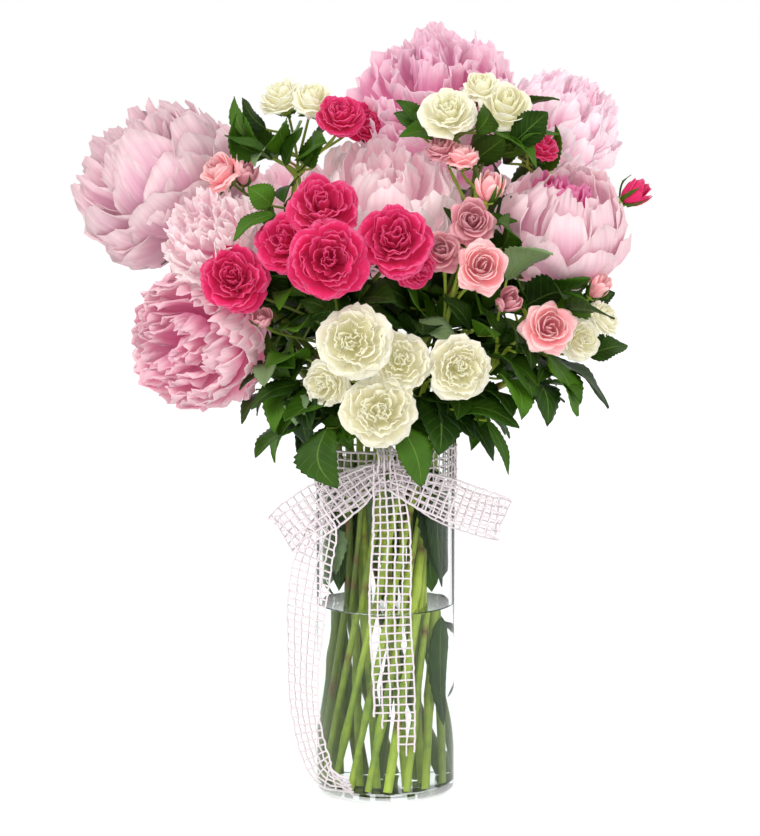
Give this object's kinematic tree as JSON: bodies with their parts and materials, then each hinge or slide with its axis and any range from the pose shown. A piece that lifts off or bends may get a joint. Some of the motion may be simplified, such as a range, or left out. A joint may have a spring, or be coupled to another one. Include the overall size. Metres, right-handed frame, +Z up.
{
  "type": "peonies in a vase",
  "caption": "Round bouquet of pink peonies and spray roses with leaves, standing in water in a straight clear glass vase tied with a net ribbon bow.",
  "frame": {"origin": "middle of the flat face that the vase stands on", "axes": "+Z up along the vase's axis, -Y towards the side with the bow, +X to the right seen from there"},
  "size_m": [0.4084, 0.2892, 0.5486],
  "materials": {
    "clear_glass": "clear, smooth and glossy",
    "water": "clear still water",
    "net_ribbon": "matt cotton threads in an open net",
    "peony_petal": "soft satin petals, pale at the rims",
    "hot_pink_petal": "velvety petals",
    "salmon_petal": "satin petals",
    "dusky_petal": "satin petals",
    "cream_petal": "satin petals, greenish at the heart",
    "leaf_green": "leaves and stems with a slight sheen"
  },
  "bodies": {
    "root": {"roses_hot_pink_front_a": "hot_pink_petal", "roses_hot_pink_front_b": "hot_pink_petal", "roses_hot_pink_front_c": "hot_pink_petal", "roses_hot_pink_front_d": "hot_pink_petal", "roses_hot_pink_front_e": "dusky_petal", "roses_hot_pink_top_a": "hot_pink_petal", "roses_hot_pink_top_b": "hot_pink_petal", "roses_hot_pink_right_a": "hot_pink_petal", "roses_hot_pink_right_b": "hot_pink_petal", "roses_salmon_front_a": "salmon_petal", "roses_salmon_front_b": "salmon_petal", "roses_salmon_front_c": "salmon_petal", "roses_salmon_right_a": "salmon_petal", "roses_salmon_right_b": "salmon_petal", "roses_salmon_right_c": "salmon_petal", "roses_dusky_top": "dusky_petal", "roses_salmon_left": "salmon_petal", "roses_cream_front_a": "cream_petal", "roses_cream_front_b": "cream_petal", "roses_cream_front_c": "cream_petal", "roses_cream_top_a": "cream_petal", "roses_cream_top_b": "cream_petal", "roses_cream_left": "cream_petal", "roses_cream_right": "cream_petal", "roses_mixed_back_a": "hot_pink_petal", "roses_mixed_back_b": "cream_petal", "roses_mixed_back_c": "salmon_petal", "peony_far_left": "peony_petal", "peony_left": "peony_petal", "peony_low_left": "peony_petal", "peony_top": "peony_petal", "peony_top_right": "peony_petal", "peony_right": "peony_petal", "peony_middle": "peony_petal", "peony_back_left": "peony_petal", "peony_back_right": "peony_petal", "stem_far_left": "leaf_green", "stem_left": "leaf_green", "stem_low_left": "leaf_green", "stem_top": "leaf_green", "stem_top_right": "leaf_green", "stem_right": "leaf_green", "stem_middle": "leaf_green", "stem_back_left": "leaf_green", "stem_back_right": "leaf_green", "spray_hot_pink_front": "leaf_green", "spray_hot_pink_top": "leaf_green", "spray_hot_pink_right": "leaf_green", "spray_salmon_front": "leaf_green", "spray_salmon_right": "leaf_green", "spray_dusky_top": "leaf_green", "spray_salmon_left": "leaf_green", "spray_cream_front": "leaf_green", "spray_cream_top": "leaf_green", "spray_cream_left": "leaf_green", "spray_cream_right": "leaf_green", "spray_mixed_back": "leaf_green", "vase": "clear_glass", "water": "water", "ribbon": "net_ribbon"}
  },
  "joints": []
}
